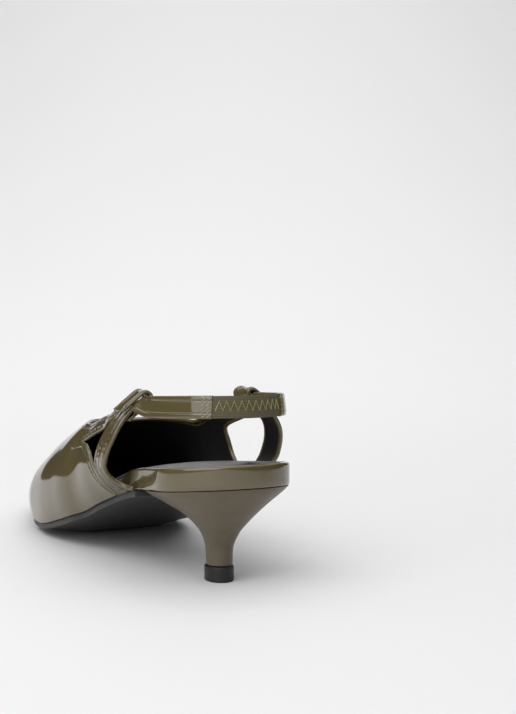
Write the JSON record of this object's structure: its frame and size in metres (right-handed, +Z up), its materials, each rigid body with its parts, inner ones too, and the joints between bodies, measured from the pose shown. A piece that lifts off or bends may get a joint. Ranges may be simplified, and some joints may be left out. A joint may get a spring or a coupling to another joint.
{
  "type": "slingback pump",
  "caption": "Left slingback kitten heel pump with an almond toe, open sides, side bands with folded loops, a sling strap with a stitched elastic back, and a covered heel.",
  "frame": {"origin": "middle of the top lift's tread, on the floor", "axes": "+Z up, +Y towards the toe, +X towards the medial side of a left foot"},
  "size_m": [0.0815, 0.2521, 0.0736],
  "materials": {
    "patent": "patent, high gloss",
    "elastic": "woven, matt",
    "board": "pressed fibre, matt",
    "sock": "smooth lining, satin",
    "sole": "matt",
    "heel_cover": "satin",
    "lift": "satin"
  },
  "bodies": {
    "root": {"upper": "patent", "loop_lateral": "patent", "loop_medial": "patent", "sling_lateral": "patent", "sling_medial": "patent", "elastic_back": "elastic", "seat_wrap": "patent", "insole_board": "board", "insole_sock": "sock", "outsole": "sole", "heel": "heel_cover", "top_lift": "lift"}
  },
  "joints": []
}
